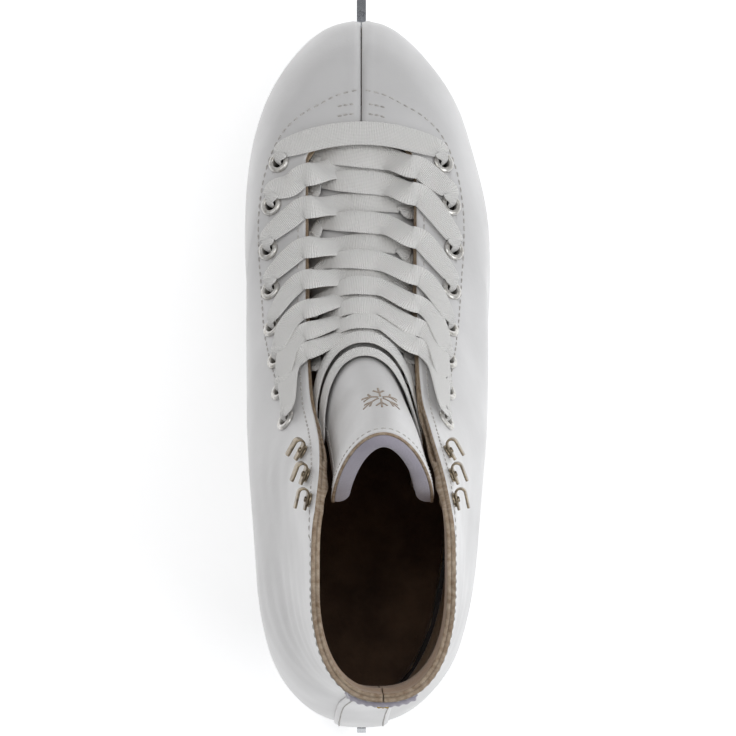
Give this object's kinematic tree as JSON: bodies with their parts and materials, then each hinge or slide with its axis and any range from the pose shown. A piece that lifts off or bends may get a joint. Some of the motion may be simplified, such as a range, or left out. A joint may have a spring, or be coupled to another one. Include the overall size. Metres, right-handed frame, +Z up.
{
  "type": "figure skate",
  "caption": "White leather lace-up figure skate: tall boot open at the ankle, padded tongue, speed hooks, heel, and a steel blade with a toe pick.",
  "frame": {"origin": "middle of the runner's bottom edge, on the flat it stands on", "axes": "+Y from heel to toe, +X to the outside of the right foot, +Z up from the ice"},
  "size_m": [0.0942, 0.29, 0.272],
  "materials": {
    "white_leather": "smooth coated, soft gloss",
    "inner_board": "raw fibre board",
    "lining": "matte tan lining leather",
    "soft_lining": "lavender grey padded cloth",
    "sole_leather": "lacquered stacked leather",
    "steel": "plated, ground on the runner's edge",
    "hook_brass": "antique plated",
    "eyelet_metal": "white lacquer, worn bright",
    "lace": "flat woven cotton"
  },
  "bodies": {
    "boot": {"upper_left": "white_leather", "upper_right": "white_leather", "back_stay": "white_leather", "tongue_cover_base": "white_leather", "eyelet_stay_left": "inner_board", "eyelet_stay_right": "inner_board", "toe_stiffener": "inner_board", "heel_counter": "inner_board", "cork_filler": "inner_board", "insole_board": "inner_board", "lining_left": "lining", "lining_right": "lining", "footbed": "lining", "tongue_pad_base": "soft_lining", "back_tab": "soft_lining", "outsole": "sole_leather", "heel_block": "sole_leather", "runner": "steel", "front_mount": "steel", "heel_mount": "steel", "shank": "steel", "sole_screw_1": "steel", "sole_screw_2": "steel", "sole_screw_3": "steel", "sole_screw_4": "steel", "sole_screw_5": "steel", "sole_screw_6": "steel", "heel_screw_1": "steel", "heel_screw_2": "steel", "heel_screw_3": "steel", "heel_screw_4": "steel", "eyelet_left_1": "eyelet_metal", "eyelet_left_2": "eyelet_metal", "eyelet_left_3": "eyelet_metal", "eyelet_left_4": "eyelet_metal", "eyelet_left_5": "eyelet_metal", "eyelet_left_6": "eyelet_metal", "eyelet_left_7": "eyelet_metal", "eyelet_left_8": "eyelet_metal", "eyelet_right_1": "eyelet_metal", "eyelet_right_2": "eyelet_metal", "eyelet_right_3": "eyelet_metal", "eyelet_right_4": "eyelet_metal", "eyelet_right_5": "eyelet_metal", "eyelet_right_6": "eyelet_metal", "eyelet_right_7": "eyelet_metal", "eyelet_right_8": "eyelet_metal", "lace": "lace"},
    "tongue_top": {"tongue_cover_top": "white_leather", "tongue_pad_top": "soft_lining"},
    "flap_left": {"flap_left": "white_leather", "flap_lining_left": "lining", "hook_left_1": "hook_brass", "hook_left_2": "hook_brass", "hook_left_3": "hook_brass"},
    "flap_right": {"flap_right": "white_leather", "flap_lining_right": "lining", "hook_right_1": "hook_brass", "hook_right_2": "hook_brass", "hook_right_3": "hook_brass"}
  },
  "joints": [
    {"name": "tongue_flex", "type": "hinge", "parent": "boot", "child": "tongue_top", "pos_m": [0.0042, -0.0022, 0.1874], "axis": [-1, 0, 0], "range_deg": [0, 15]},
    {"name": "flap_left_open", "type": "hinge", "parent": "boot", "child": "flap_left", "pos_m": [-0.0247, -0.057, 0.2122], "axis": [0, -0.7758, 0.631], "range_deg": [0, 25]},
    {"name": "flap_right_open", "type": "hinge", "parent": "boot", "child": "flap_right", "pos_m": [0.0355, -0.057, 0.2122], "axis": [0, 0.7758, -0.631], "range_deg": [0, 25]}
  ]
}
